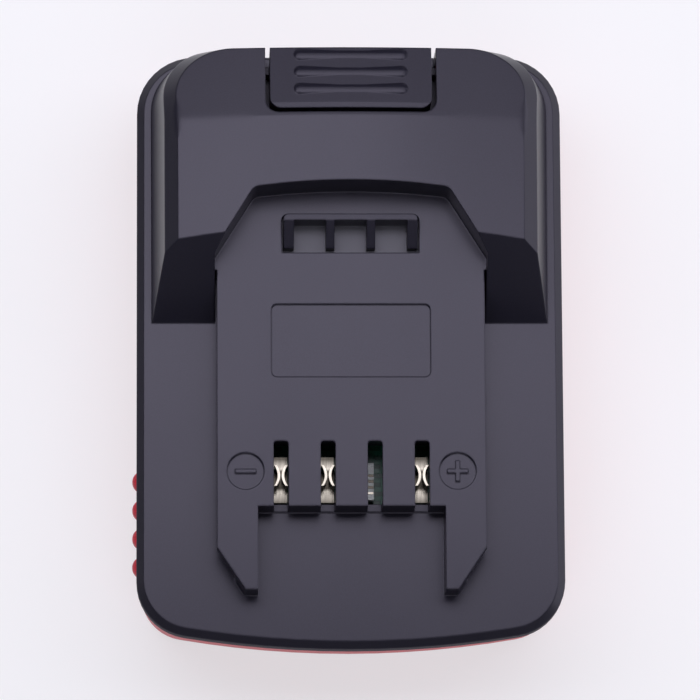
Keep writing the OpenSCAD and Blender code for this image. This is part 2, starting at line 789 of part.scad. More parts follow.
// Outline square at the front with round rear corners, for the catch and for its window
module catch_plan(half, y0, y1, r) {
    polygon(concat(
        [[-half, y0], [half, y0]],
        rounded_corner([half, y0], [half, y1], [0, y1], r),
        rounded_corner([0, y1], [-half, y1], [-half, y0], r)));
}

module upper_housing() {
    color(black) difference() {
        union() {
            flange_form();
            for (p = housing_screw_places) column(p, boss_r, boss_z, deck_z - weld);
            difference() {
                hump_form(0, deck_z - weld);
                translate([0, 0, platform_z]) linear_extrude(hump_z) polygon(recess_points());
                block([-shoulder_x, front_y, deck_z], [shoulder_x, recess_low_y - wall, hump_z]);
            }
            platform();
        }
        upper_cavity();
        for (x = slot_x) slot_cut(x);
        label_recess();
        polarity_recess(-mark_pitch / 2, [0]);
        polarity_recess(mark_pitch / 2, [0, 90]);
        translate([0, 0, ceiling_z - past]) linear_extrude(platform_skin + 2 * past)
            catch_plan(window_half, window_y, catch_y1 + catch_gap, catch_corner_r + catch_gap / 2);
        translate([0, 0, notch_floor_z]) linear_extrude(hump_z)
            button_plan(button_w / 2 + button_gap, notch_y, rear_y + past, button_corner_r + button_gap / 2);
        for (p = housing_screw_places)
            column(p, screw_d / 2 + tight_gap, boss_z - past, screw_tip_z + weld);
    }
}

// The outer form of the lower housing, with a rounded bottom edge
module lower_form() {
    loft(concat(
        [for (i = [0:edge_steps - 1]) let (a = 90 * i / edge_steps)
            lower_ring(bottom_edge_r * (1 - cos(a)), bottom_edge_r * (1 - sin(a)))],
        [lower_ring(bottom_edge_r, 0), lower_ring(lower_h, 0)]));
}

// One short round grip rib halfway up the side of the lower housing
module side_rib(sx, y) {
    x = sx * (body_w / 2 + side_rib_proud - side_rib_r);
    low = (lower_h - side_rib_l) / 2;
    high = low + side_rib_l;
    column([x, y], side_rib_r, low, high);
    for (z = [low, high]) translate([x, y, z]) sphere(side_rib_r);
}

// What stands up from the roof of the bay: guide posts for the latch and standoffs for the board
module roof_posts() {
    for (sx = [-1, 1]) {
        column([sx * post_x, post_y], post_d / 2, roof_z - weld, post_top_z);
        for (y = [standoff_y, board_screw_y])
            column([sx * board_screw_x, y], small_head_d / 2, roof_z - weld, board_z);
    }
}

// The pocket over the bay that the pack's own catch springs into, or the shell round it
module strike_pocket(shell) {
    y = rear_y - strike_setback;
    block([-strike_w / 2 - shell, y - strike_l / 2 - shell, bay_h - weld + shell],
        [strike_w / 2 + shell, y + strike_l / 2 + shell, bay_h + strike_h + shell]);
}

// The way of the pack's rails into the bay, over the two ledges, with a lead-in at the open end
module bay_space() {
    neck_half = bay_half - ledge_w;
    end_y = rear_y - seam_step - side_lean;
    block([-bay_half, bay_y, ledge_t], [bay_half, rear_y + past, bay_h]);
    block([-neck_half, bay_y, -past], [neck_half, rear_y + past, bay_h]);
    translate([0, 0, -past]) linear_extrude(ledge_t + 2 * past) polygon([
        [-neck_half, end_y - lead_in], [neck_half, end_y - lead_in],
        [neck_half + lead_in + past, end_y + past], [-neck_half - lead_in - past, end_y + past]]);
}

// The shape of a blade, a tongue in the bay and a tail up to the board, widened by a gap for its slot
module blade_form(x, gap) {
    low = blade_low_z - gap;
    high = blade_top_z + gap;
    translate([x, 0, 0]) side_prism([
        [blade_y0 - gap, low], [blade_y1 - blade_tip, low], [blade_y1, low + blade_tip],
        [blade_y1, high - blade_tip], [blade_y1 - blade_tip, high], [tail_y1 + gap, high],
        [tail_y1 + gap, tail_top_z], [tail_y0 - gap, tail_top_z], [tail_y0 - gap, high],
        [blade_y0 - gap, high]], blade_t + 2 * gap);
}

module lower_housing() {
    lip = wall + fit_gap;
    skin = skin_t + seam_step - fit_gap;
    color(red) difference() {
        union() {
            difference() {
                lower_form();
                difference() {
                    loft([lower_ring(roof_t, skin_t), lower_ring(lower_h + past, skin_t)]);
                    block([-bay_half - bay_wall, bay_y - bay_wall, -past],
                        [bay_half + bay_wall, rear_y + past, roof_z]);
                    for (p = housing_screw_places) column(p, tower_r, 0, boss_z);
                }
            }
            translate([0, 0, lower_h - weld]) linear_extrude(seam_lip_h + weld) difference() {
                polygon(plan(lip, lip, lip));
                polygon(plan(skin, skin, skin));
            }
            roof_posts();
            strike_pocket(roof_t);
            for (sx = [-1, 1], i = [0:side_rib_count - 1])
                side_rib(sx, front_y + side_rib_setback + (i - (side_rib_count - 1) / 2) * side_rib_pitch);
        }
        bay_space();
        strike_pocket(0);
        for (p = housing_screw_places) {
            column(p, screw_head_d / 2 + screw_gap, -past, screw_seat_z);
            column(p, screw_d / 2 + screw_gap, 0, boss_z + past);
        }
        for (x = blade_x) blade_form(x, fit_gap);
        for (sx = [-1, 1]) {
            column([sx * carrier_screw_x, carrier_screw_y], small_r + fit_gap, bay_h - weld, roof_z + weld);
            column([sx * board_screw_x, board_screw_y], small_r + tight_gap,
                board_z - small_bite, board_z + weld);
        }
    }
}

// The push button, cut from the form of the hump so that it lies flush, with a lip along its front
module button() {
    lip_y = button_y0 + lip_l;
    lip_z = hump_z - (lip_y - crease_y) * tan(rear_fall);
    intersection() {
        hump_form(0, deck_z - weld);
        translate([0, 0, button_under_z]) linear_extrude(hump_z)
            button_plan(button_w / 2, button_y0, rear_y, button_corner_r);
        tilted(lip_y, lip_z, -lip_fall) crown(lip_z);
    }
}

// Raised grip ribs with round ends on the falling top of the button
module button_grips() {
    tilted(crease_y, hump_z, rear_fall)
        for (i = [0:grip_count - 1])
            translate([0, button_y1 - grip_setback - i * grip_pitch, hump_z + grip_rise - grip_r]) {
                rotate([0, 90, 0]) cylinder(r = grip_r, h = grip_l - 2 * grip_r, center = true);
                for (sx = [-1, 1]) translate([sx * (grip_l / 2 - grip_r), 0, 0]) sphere(grip_r);
            }
}

// One rib of the catch, with the ramp that the tool rides up
module catch_rib(x, t) {
    end_y = catch_back_y + fit_gap;
    translate([x, 0, 0]) side_prism([[catch_y0, arm_z - weld], [end_y, arm_z - weld], [end_y, catch_z],
        [catch_back_y, catch_z], [catch_y0, platform_z - ramp_drop]], t);
}

// The catch: a rear wall with round corners and four ribs in front of it
module catch() {
    pocket = (catch_w - 2 * catch_side_t - 2 * catch_rib_t) / 3;
    translate([0, 0, arm_z - weld]) linear_extrude(catch_z - arm_z + weld)
        catch_plan(catch_w / 2, catch_back_y, catch_y1, catch_corner_r);
    for (sx = [-1, 1]) {
        catch_rib(sx * (catch_w - catch_side_t) / 2, catch_side_t);
        catch_rib(sx * (pocket + catch_rib_t) / 2, catch_rib_t);
    }
}

// The button, its arm and the catch as one moulding, with sockets that slide on the guide posts.
// The arm widens under the button and runs on in front of the catch, so that no gap shows the inside.
module release_latch() {
    apron_half = button_w / 2 + button_gap + apron_lap;
    arm_half = window_half + apron_lap;
    color(black) difference() {
        union() {
            button();
            button_grips();
            block([-core_half, core_y0, arm_under_z], [core_half, core_y1, socket_z + weld]);
            block([-apron_half, core_y1 - apron_t, arm_under_z],
                [apron_half, core_y1, button_under_z + weld]);
            block([-apron_half, notch_y - apron_lap, arm_under_z], [apron_half, core_y1, arm_z]);
            block([-arm_half, window_y - apron_lap, arm_under_z], [arm_half, core_y1, arm_z]);
            catch();
        }
        for (sx = [-1, 1]) column([sx * post_x, post_y], socket_r, arm_under_z - past, socket_z);
    }
}

// Wire wound round a guide post, as one tube from the roof of the bay to the latch arm
module latch_spring(place) {
    n = spring_sides;
    steps = spring_turns * spring_rings;
    climb = atan2(spring_rise / spring_turns, 2 * PI * spring_r);
    middle = function(k) let (turn = 360 * k / spring_rings)
        [spring_r * cos(turn), spring_r * sin(turn), spring_low_z + spring_rise * k / steps];
    wire = function(k, j)
        let (
            turn = 360 * k / spring_rings,
            out = spring_wire_d / 2 * cos(360 * j / n),
            up = spring_wire_d / 2 * sin(360 * j / n)
        )
        middle(k) + [out * cos(turn) + up * sin(climb) * sin(turn),
            out * sin(turn) - up * sin(climb) * cos(turn), up * cos(climb)];
    gaps = [for (k = [0:steps], m = [k + spring_rings / 2:1:steps])
        norm(middle(m) - middle(k)) - spring_wire_d];
    echo(str("least gap between the turns of a spring: ", min(gaps)));
    translate([place[0], place[1], 0]) polyhedron(
        points = [for (k = [0:steps], j = [0:n - 1]) wire(k, j)],
        faces = ring_faces(n, steps));
}

module latch_spring_left() {
    color(steel) latch_spring([-post_x, post_y]);
}

module latch_spring_right() {
    color(steel) latch_spring([post_x, post_y]);
}

// Spring clip that grips a blade of the tool: a floor on two legs, and two leaves that bow in to the middle
module terminal_clip(slot) {
    half = clip_w / 2;
    middle = (clip_y0 + clip_y1) / 2;
    under_z = clip_floor_z - clip_t;
    bow = half - clip_t - clip_pinch / 2;
    leaf = [for (i = [-round_steps:round_steps]) let (s = i / round_steps)
        [clip_pinch / 2 + bow * s * s, middle + s * leaf_l / 2]];
    back = [for (i = [len(leaf) - 1:-1:0]) leaf[i] + [clip_t, 0]];
    color(nickel) translate([slot_x[slot], 0, 0]) {
        block([-half, clip_y0, under_z], [half, clip_y1, clip_floor_z]);
        for (side = [0, 1]) mirror([side, 0, 0])
            translate([0, 0, under_z]) linear_extrude(clip_top_z - under_z) polygon(concat(leaf, back));
        for (y = leg_places)
            block([-leg_w / 2, y - clip_t / 2, board_z - leg_reach],
                [leg_w / 2, y + clip_t / 2, clip_floor_z]);
    }
}

module terminal_negative() {
    terminal_clip(clip_slots[0]);
}

module terminal_sense() {
    terminal_clip(clip_slots[1]);
}

module terminal_positive() {
    terminal_clip(clip_slots[2]);
}

module circuit_board() {
    color(board_green) difference() {
        block([-board_w / 2, board_y0, board_z], [board_w / 2, board_y1, board_top_z]);
        for (slot = clip_slots, y = leg_places)
            translate([slot_x[slot], y, board_z])
                cube([leg_w + 2 * fit_gap, clip_t + 2 * fit_gap, 2 * board_t + past], center = true);
        for (x = blade_x) blade_form(x, fit_gap);
        for (sx = [-1, 1])
            column([sx * board_screw_x, board_screw_y], small_r + fit_gap,
                board_z - past, board_top_z + past);
    }
}

// The row of contacts in the sense connector, widened by a gap and lengthened by a reach for their grooves
module contact_row(gap, reach) {
    for (i = [1:contact_count]) {
        y = connector_low[1] + i * contact_pitch;
        block([connector_low[0] + contact_w, y - gap, connector_high[2] - contact_w],
            [connector_high[0] + reach, y + contact_w + gap, connector_high[2] + reach]);
    }
}

// Ribbed socket for the sense lead, on the board under the open slot
module sense_connector() {
    color("gainsboro") difference() {
        block(connector_low, connector_high);
        contact_row(tight_gap, past);
    }
}

module sense_contacts() {
    color(nickel) contact_row(0, -fit_gap);
}

// Two power transistors with their tabs and leads
module board_transistors() {
    y = board_screw_y - transistor_l / 2;
    for (sx = [-1, 1])
        color("dimgray") translate([sx * transistor_pitch / 2, y, board_top_z]) {
            block([-transistor_w / 2, 0, 0], [transistor_w / 2, transistor_l, transistor_h]);
            block([-tab_w / 2, 0, 0], [tab_w / 2, transistor_l + lead_l, lead_t]);
            for (side = [-1, 1])
                translate([side * lead_pitch / 2 - lead_w / 2, -lead_l, 0])
                    cube([lead_w, lead_l + weld, lead_t]);
        }
}

// Upright capacitor with the collar at its foot
module board_capacitor() {
    color("slategray") translate([0, board_screw_y, board_top_z]) {
        cylinder(d = capacitor_d, h = capacitor_h);
        cylinder(d = capacitor_d + 2 * collar_step, h = collar_h);
    }
}

// Insulating block that holds the blades at the end of the bay
module blade_carrier() {
    low = bay_h - carrier_h;
    color(black) difference() {
        side_prism([[bay_y, low], [carrier_y - carrier_edge, low], [carrier_y, low + carrier_edge],
            [carrier_y, bay_h], [bay_y, bay_h]], carrier_w);
        for (x = blade_x) blade_form(x, tight_gap);
        for (sx = [-1, 1])
            column([sx * carrier_screw_x, carrier_screw_y], small_r + tight_gap,
                bay_h - small_bite - weld, bay_h + past);
    }
}

module blade_negative() {
    color(zinc) blade_form(blade_x[0], 0);
}

module blade_sense() {
    color(zinc) blade_form(blade_x[1], 0);
}

module blade_positive() {
    color(zinc) blade_form(blade_x[2], 0);
}

// Self-tapping screw that points up from z = 0, with a cross recess in the head below
module screw(d, head_d, head_h, l) {
    cross_l = 0.6 * head_d;
    cross_w = 0.25 * cross_l;
    difference() {
        union() {
            translate([0, 0, -head_h]) cylinder(d = head_d, h = head_h);
            cylinder(d = d, h = l);
        }
        for (size = [[cross_l, cross_w, head_h], [cross_w, cross_l, head_h]])
            translate([0, 0, -head_h]) cube(size, center = true);
    }
}

module housing_screws() {
    for (p = housing_screw_places)
        color(steel) translate([p[0], p[1], screw_seat_z])
            screw(screw_d, screw_head_d, screw_head_h, screw_l);
}

module board_screws() {
    for (sx = [-1, 1])
        color(steel) translate([sx * board_screw_x, board_screw_y, board_top_z]) mirror([0, 0, 1])
            screw(small_screw_d, small_head_d, small_head_h, board_t + small_bite - stop_gap);
}

module carrier_screws() {
    for (sx = [-1, 1])
        color(steel) translate([sx * carrier_screw_x, carrier_screw_y, roof_z]) mirror([0, 0, 1])
            screw(small_screw_d, small_head_d, small_head_h, roof_t + small_bite);
}

upper_housing();
lower_housing();
release_latch();
latch_spring_left();
latch_spring_right();
terminal_negative();
terminal_sense();
terminal_positive();
circuit_board();
sense_connector();
sense_contacts();
board_transistors();
board_capacitor();
blade_carrier();
blade_negative();
blade_sense();
blade_positive();
housing_screws();
board_screws();
carrier_screws();
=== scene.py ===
"""Looks of the slide-on battery adapter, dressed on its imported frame.

Every piece is in metres in the frame of the CAD model: +X across to the positive terminal,
+Y along to the release button, +Z up from the surface that the adapter stands on.
"""
import json
import math

import bpy
from mathutils import Matrix, Vector

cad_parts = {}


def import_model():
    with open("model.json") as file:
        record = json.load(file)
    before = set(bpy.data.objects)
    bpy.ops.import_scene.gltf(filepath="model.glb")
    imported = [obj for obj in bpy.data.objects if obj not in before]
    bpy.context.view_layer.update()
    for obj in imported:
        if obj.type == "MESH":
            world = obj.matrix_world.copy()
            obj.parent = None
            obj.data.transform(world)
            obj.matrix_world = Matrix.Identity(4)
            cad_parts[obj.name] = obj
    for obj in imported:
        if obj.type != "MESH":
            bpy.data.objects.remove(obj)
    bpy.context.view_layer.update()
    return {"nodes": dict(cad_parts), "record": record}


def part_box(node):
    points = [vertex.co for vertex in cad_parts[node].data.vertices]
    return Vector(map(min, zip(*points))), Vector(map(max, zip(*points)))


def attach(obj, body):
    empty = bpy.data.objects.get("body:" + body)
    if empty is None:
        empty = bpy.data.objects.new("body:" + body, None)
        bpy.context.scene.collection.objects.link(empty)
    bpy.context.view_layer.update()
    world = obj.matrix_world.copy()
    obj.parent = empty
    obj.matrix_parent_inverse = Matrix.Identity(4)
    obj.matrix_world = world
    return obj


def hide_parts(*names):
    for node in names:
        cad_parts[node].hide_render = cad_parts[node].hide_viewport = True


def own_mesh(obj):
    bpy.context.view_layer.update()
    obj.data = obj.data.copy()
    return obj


MM = 0.001

# Camera of the photograph: a long lens almost straight above, leaning towards the front
CAMERA_AIM = Vector((0.0, -0.13, 28.16)) * MM
CAMERA_DISTANCE = 1.15
CAMERA_LEAN = math.radians(11.05)
CAMERA_TURN = math.radians(-1.591)
CAMERA_ROLL = math.radians(-0.313)
CAMERA_LENS = 315.4
CAMERA_SENSOR = 36
CAMERA_REACH = 20

# Table just under the part: size and middle in metres, finish with faint clouds in millimetres,
# and how far it is lifted to the white of the photograph where it is seen
TABLE_SIZE = 1.3
TABLE_MIDDLE = (0, 0.05, -0.02 * MM)
TABLE_COLOURS = ((0.93, 0.925, 0.95), (0.95, 0.945, 0.965))
TABLE_CLOUD_SIZE = 300
TABLE_ROUGHNESS = 0.7
TABLE_WHITE = (0.98, 0.975, 1.0, 1)
TABLE_LIFT = 0.6

# Colour of the daylight lamps, and the dim room round them
LAMP_COLOUR = (0.97, 0.965, 1.08)
ROOM_COLOUR = (0.95, 0.96, 1.0, 1)
ROOM_STRENGTH = 0.06

# Softboxes side by side overhead: left, right, front and rear edges in metres, and radiance.
# The dim one darkens the right part of the hump.
OVERHEAD_Z = 0.45
OVERHEAD = {
    "front_softbox": (-0.4, 0.4, 0.01, 0.1, 3.3),
    "middle_softbox": (-0.4, 0.06, 0.1, 0.21, 3.05),
    "dim_softbox": (0.06, 0.4, 0.1, 0.21, 1.5),
    "rear_softbox": (-0.4, 0.4, 0.21, 0.45, 1.62),
}

# Panels aimed at the part: place and size in metres, and radiance
PANEL_AIM = (0, 0, 0.03)
PANELS = {
    "front_panel": ((0, -0.55, 0.65), (0.8, 0.4), 1.6),
    "right_panel": ((0.75, 0.1, 0.2), (0.9, 0.35), 1.9),
}

# Edge radius in millimetres of the small nodes, its segments, and the angle where an edge is sharp.
# The edges of the three mouldings run into each other at a slant, so their plastics round them instead.
EDGE_RADIUS = {
    "circuit_board": 0.08,
    "sense_connector": 0.06,
    "board_transistors": 0.12,
    "board_capacitor": 0.3,
    "blade_carrier": 0.25,
    "blade_negative": 0.12,
    "blade_sense": 0.12,
    "blade_positive": 0.12,
    "housing_screws": 0.2,
    "board_screws": 0.15,
    "carrier_screws": 0.15,
}
EDGE_SEGMENTS = 3
SHARP_ANGLE = math.radians(28)

# Angle in degrees below which neighbouring faces of a node are shaded as one surface
SMOOTH_ANGLE = {"upper_housing": 11.5, "release_latch": 11.5, "lower_housing": 22}
PLAIN_SMOOTH_ANGLE = 34

# Faces that turn by less than this are one flat face, and points nearer than this are one point
FLAT_ANGLE = math.radians(0.6)
WELD_DISTANCE = 0.02 * MM

# Latch springs: their wire and turns, the steps of a turn and the sides of the wire, and how much closer
# the ends are wound
SPRING_NODES = ("latch_spring_left", "latch_spring_right")
SPRING_WIRE = 0.7 * MM
SPRING_TURNS = 6.5
SPRING_STEPS = 24
SPRING_SIDES = 10
SPRING_CLOSE = 0.48

# In the pairs of the next four groups an effect starts at the first value and is full at the second.
# They are places in millimetres, but for RIM_UPRIGHT.

# Soft radius over the hump's crease: near it, high on the hump, and to each side of the button
CREASE_Y = 41.1
CREASE_NEAR = (4, 2)
CREASE_HIGH = (41, 42)
CREASE_BESIDE = (17, 20)
CREASE_SOFT = 2.2

# Coarser finish on the flange's upright edge: its height, the rise of its normal, and what is added
RIM_BELOW = (27.4, 26.9)
RIM_UPRIGHT = (0.5, 0.2)
RIM_COARSER = 0.45

# Painted light in the pockets of the catch: their colour is lightened low down and in front of the button,
# against the shade of the recesses
POCKET_BELOW = (33.6, 33.2)
POCKET_AHEAD = (25, 24)
POCKET_PAINTED_LIGHT = (0.075, 0.075, 0.083)

# Painted shade on the spring clips: both ends darkened, and the floor below the place where the leaves
# pinch
CLIP_MIDDLE_Y = -24.9
CLIP_REAR = (CLIP_MIDDLE_Y + 1.3, CLIP_MIDDLE_Y + 3.9)
CLIP_REAR_SHADE = 0.94
CLIP_FRONT = (CLIP_MIDDLE_Y - 1.3, CLIP_MIDDLE_Y - 4.4)
CLIP_FRONT_SHADE = 0.9
CLIP_FLOOR = (33, 30)
CLIP_PINCH = (2.4, 1.6)
CLIP_PINCH_SHADE = 0.95

# Range that most values of a noise lie in
NOISE_RANGE = (0.3, 0.7)

# Sockets of a Mix node for colours: its share and both colours, and the result
MIX_INPUTS = (0, 6, 7)
MIX_RESULT = 2

# Plastics: size in millimetres and stretch of flow marks, grain and scuffs, and what they change.
# An edge is rubbed as the cosine between its flat and round normal goes from one value to the other.
FLOW_SIZE = 18
FLOW_STRETCH = (1, 2, 1)
FLOW_RANGE = (0.2, 0.8)
FLOW_ROUGHNESS = 0.015
GRAIN_SIZE = 0.22
GRAIN_MOTTLE = 0.2
SCUFF_SIZE = 0.6
SCUFF_STRETCH = (1, 9, 1)
SCUFF_RANGE = (0.64, 0.8)
SCUFF_ROUGHNESS = 0.07
RUB_COSINES = (0.98, 0.75)
RUB_SHARE = 0.35
# Rays that find a round edge, the usual refraction, and tints of the mirrored light
EDGE_SAMPLES = 8
PLASTIC_IOR = 1.46
WHITE = (1, 1, 1)
VIOLET = (0.92, 0.87, 1)

# Metals: size of streaks in millimetres, how far they change the roughness down and up, and their relief,
# then size and share of tarnish, and the way that streaks run
STREAK_SIZE = 0.25
STREAK_CHANGE = (-0.06, 0.08)
STREAK_DEPTH = 0.004
CLIP_STREAK_CHANGE = (-0.05, 0.07)
CLIP_STREAK_DEPTH = 0.003
TARNISH_SIZE = 2.5
TARNISH_RANGE = (0.45, 0.75)
TARNISH_SHARE = 0.7
ALL_WAYS = (1, 1, 1)
LENGTHWAYS = (1, 12, 1)
UPRIGHT = (1, 1, 12)

# Circuit board: tracks as a pattern of rows, scaled per metre, their relief and the weave of the laminate
# in millimetres, the greens and the roughness
TRACK_SCALE = (260, 260, 0)
TRACK_PATTERN = {"Scale": 1.0, "Mortar Size": 0.12, "Brick Width": 1.6, "Row Height": 0.45}
TRACK_SHIFT = 0.35
TRACK_DEPTH = 0.03
WEAVE_SIZE = 0.5
MASK_GREENS = ((0.004, 0.05, 0.028), (0.008, 0.075, 0.042))
TRACK_GREEN = (0.012, 0.13, 0.075)
BOARD_ROUGHNESS = (0.25, 0.38)


# Camera, stage and light

def add_camera():
    """Puts the camera where the photograph was taken from."""
    back = Vector((
        math.sin(CAMERA_TURN),
        -math.sin(CAMERA_LEAN) * math.cos(CAMERA_TURN),
        math.cos(CAMERA_LEAN) * math.cos(CAMERA_TURN)))
    right = Vector((0, 1, 0)).cross(back).normalized()
    up = back.cross(right)
    axes = Matrix((right, up, back)).transposed() @ Matrix.Rotation(CAMERA_ROLL, 3, "Z")
    data = bpy.data.cameras.new("camera")
    data.sensor_width = CAMERA_SENSOR
    data.lens = CAMERA_LENS
    data.clip_end = CAMERA_REACH
    camera = bpy.data.objects.new("camera", data)
    camera.matrix_world = Matrix.Translation(CAMERA_AIM + back * CAMERA_DISTANCE) @ axes.to_4x4()
    bpy.context.collection.objects.link(camera)
    bpy.context.scene.camera = camera


def add_softbox(name, place, aim, size, radiance):
    """Adds a rectangular softbox of a given radiance, aimed at a point."""
    data = bpy.data.lights.new(name, "AREA")
    data.shape = "RECTANGLE"
    data.size, data.size_y = size
    data.energy = radiance * math.pi * size[0] * size[1]
    data.color = LAMP_COLOUR
    lamp = bpy.data.objects.new(name, data)
    lamp.location = place
    lamp.rotation_euler = (Vector(aim) - Vector(place)).to_track_quat("-Z", "Y").to_euler()
    lamp.visible_camera = False
    bpy.context.collection.objects.link(lamp)


def add_stage():
    """Adds the pale table, softboxes close above it, two panels further off and the dim room round them.

    The camera sees the softboxes mirrored in level faces, and the dim room in steep faces at the front.
    """
    bpy.ops.mesh.primitive_plane_add(size=TABLE_SIZE, location=TABLE_MIDDLE)
    table = bpy.context.object
    table.name = "table"
    table.data.materials.append(table_material())
    for name, (left, right, front, rear, radiance) in OVERHEAD.items():
        middle = ((left + right) / 2, (front + rear) / 2)
        add_softbox(name, (*middle, OVERHEAD_Z), (*middle, 0), (right - left, rear - front), radiance)
    for name, (place, size, radiance) in PANELS.items():
        add_softbox(name, place, PANEL_AIM, size, radiance)
    world = bpy.data.worlds.new("room")
    world.use_nodes = True
    background = world.node_tree.nodes["Background"]
    background.inputs["Color"].default_value = ROOM_COLOUR
    background.inputs["Strength"].default_value = ROOM_STRENGTH
    bpy.context.scene.world = world


# Shader nodes

def add_node(tree, kind, inputs=None, **settings):
    """Adds a shader node. An input is a constant, or the output socket that it is linked from."""
    node = tree.nodes.new("ShaderNode" + kind)
    for key, value in settings.items():
        setattr(node, key, value)
    for key, value in (inputs or {}).items():
        if isinstance(value, bpy.types.NodeSocket):
            tree.links.new(value, node.inputs[key])
        else:
            node.inputs[key].default_value = value
    return node


def new_material(name):
    """Returns a new material, its node tree, its Principled shader and the object coordinates."""
    material = bpy.data.materials.new(name)
    material.use_nodes = True
    tree = material.node_tree
    shader = tree.nodes["Principled BSDF"]
    place = add_node(tree, "TexCoord").outputs["Object"]
    return material, tree, shader, place


def noise(tree, place, size_mm, detail=2.0, stretch=ALL_WAYS):
    """Noise with features of about the given size, longer along an axis with a larger stretch."""
    scale = [1 / (size_mm * MM * s) for s in stretch]
    scaled = add_node(tree, "Mapping", {"Vector": place, "Scale": scale}).outputs["Vector"]
    return add_node(tree, "TexNoise", {"Vector": scaled, "Scale": 1.0, "Detail": detail}).outputs["Fac"]


def calculate(tree, operation, *values):
    """Result of a calculation with one or two values."""
    return add_node(tree, "Math", dict(enumerate(values)), operation=operation).outputs[0]


def product(tree, *values):
    """Multiplies the values."""
    total = values[0]
    for value in values[1:]:
        total = calculate(tree, "MULTIPLY", total, value)
    return total


def distance(tree, value, middle_mm):
    """Distance of a coordinate from a place."""
    return calculate(tree, "ABSOLUTE", calculate(tree, "SUBTRACT", value, middle_mm * MM))


def split(tree, vector):
    """The X, Y and Z of a vector."""
    return add_node(tree, "SeparateXYZ", {0: vector}).outputs


def remap(tree, value, low, high, out_low, out_high):
    """Maps a value from one range to another, held at the ends."""
    node = add_node(tree, "MapRange", {"Value": value, "From Min": low, "From Max": high,
                                       "To Min": out_low, "To Max": out_high})
    return node.outputs["Result"]


def ramp(tree, value, places_mm, full=1):
    """Rises from 0 to its full value as a coordinate goes from the first place to the second."""
    start, end = places_mm
    return remap(tree, value, start * MM, end * MM, 0, full)


def spread(tree, value, out_low, out_high):
    """Maps a noise from the range of most of its values to another."""
    return remap(tree, value, *NOISE_RANGE, out_low, out_high)


def blend(tree, amount, first, second):
    """Mixes two colours, each a constant or an output socket."""
    colours = [c if isinstance(c, bpy.types.NodeSocket) else (*c, 1) for c in (first, second)]
    inputs = dict(zip(MIX_INPUTS, (amount, *colours)))
    return add_node(tree, "Mix", inputs, data_type="RGBA").outputs[MIX_RESULT]


def add_bump(tree, shader, height, depth_mm, normal=None):
    """Links a height to the shader's normal as relief of the given depth, over a normal if one is given."""
    bump = add_node(tree, "Bump", {"Height": height, "Distance": depth_mm * MM})
    if normal:
        tree.links.new(normal, bump.inputs["Normal"])
    tree.links.new(bump.outputs["Normal"], shader.inputs["Normal"])


# Materials

def crease_radius(tree, place, edge_mm):
    """Edge radius of the upper housing, larger over the soft crease of the hump beside the button."""
    axes = split(tree, place)
    near = ramp(tree, distance(tree, axes["Y"], CREASE_Y), CREASE_NEAR)
    high = ramp(tree, axes["Z"], CREASE_HIGH)
    beside = ramp(tree, distance(tree, axes["X"], 0), CREASE_BESIDE)
    return remap(tree, product(tree, near, high, beside), 0, 1, edge_mm * MM, CREASE_SOFT * MM)


def coarse_rim(tree, place, normal, roughness):
    """Raises a roughness on the upright edge of the flange."""
    low = ramp(tree, split(tree, place)["Z"], RIM_BELOW)
    facing_up = calculate(tree, "ABSOLUTE", split(tree, normal)["Z"])
    coarser = remap(tree, facing_up, *RIM_UPRIGHT, 0, RIM_COARSER)
    return calculate(tree, "ADD", roughness, product(tree, low, coarser))


def pocket_painted_light(tree, place, colour):
    """Lightens a colour with painted light in the pockets of the catch, against the shade of the recesses.
    """
    axes = split(tree, place)
    painted_light_share = product(tree, ramp(tree, axes["Z"], POCKET_BELOW), ramp(tree, axes["Y"], POCKET_AHEAD))
    return blend(tree, painted_light_share, colour, POCKET_PAINTED_LIGHT)


def plastic(name, colour, worn, roughness, edge_mm, grain_mm, ior=PLASTIC_IOR, tint=WHITE,
            radius_at=None, finish_at=None, colour_at=None):
    """Moulded plastic: round edges rubbed lighter, a fine spark-eroded grain, flow marks and scuffs.

    The last three are functions that change edge radius, roughness or colour in a part of the moulding.
    """
    material, tree, shader, place = new_material(name)
    shader.inputs["IOR"].default_value = ior
    shader.inputs["Specular Tint"].default_value = (*tint, 1)
    flow = noise(tree, place, FLOW_SIZE, detail=1, stretch=FLOW_STRETCH)
    grain = noise(tree, place, GRAIN_SIZE, detail=3)
    scuffs = noise(tree, place, SCUFF_SIZE, detail=3, stretch=SCUFF_STRETCH)
    flat = add_node(tree, "NewGeometry").outputs["Normal"]
    radius = radius_at(tree, place, edge_mm) if radius_at else edge_mm * MM
    rounded = add_node(tree, "Bevel", {"Radius": radius}, samples=EDGE_SAMPLES).outputs["Normal"]

    turn = add_node(tree, "VectorMath", {0: flat, 1: rounded}, operation="DOT_PRODUCT").outputs["Value"]
    rubbed = remap(tree, turn, *RUB_COSINES, 0, RUB_SHARE)
    darker = [(1 - GRAIN_MOTTLE) * c for c in colour]
    lighter = [(1 + GRAIN_MOTTLE) * c for c in colour]
    mottled = blend(tree, spread(tree, grain, 0, 1), darker, lighter)
    base = blend(tree, rubbed, mottled, worn)
    # Painted light: the colour can be lightened where a recess lies in shade
    if colour_at:
        base = colour_at(tree, place, base)
    tree.links.new(base, shader.inputs["Base Color"])

    cloudy = remap(tree, flow, *FLOW_RANGE, roughness - FLOW_ROUGHNESS, roughness + FLOW_ROUGHNESS)
    finish = calculate(tree, "ADD", cloudy, remap(tree, scuffs, *SCUFF_RANGE, 0, SCUFF_ROUGHNESS))
    if finish_at:
        finish = finish_at(tree, place, flat, finish)
    tree.links.new(finish, shader.inputs["Roughness"])
    add_bump(tree, shader, grain, grain_mm, rounded)
    return material


def add_streaks(tree, shader, place, stretch, roughness, change, depth_mm):
    """Makes a shader metallic, with streaks from drawing or rolling in its roughness and relief."""
    shader.inputs["Metallic"].default_value = 1.0
    streaks = noise(tree, place, STREAK_SIZE, detail=2, stretch=stretch)
    finish = spread(tree, streaks, roughness + change[0], roughness + change[1])
    tree.links.new(finish, shader.inputs["Roughness"])
    add_bump(tree, shader, streaks, depth_mm)


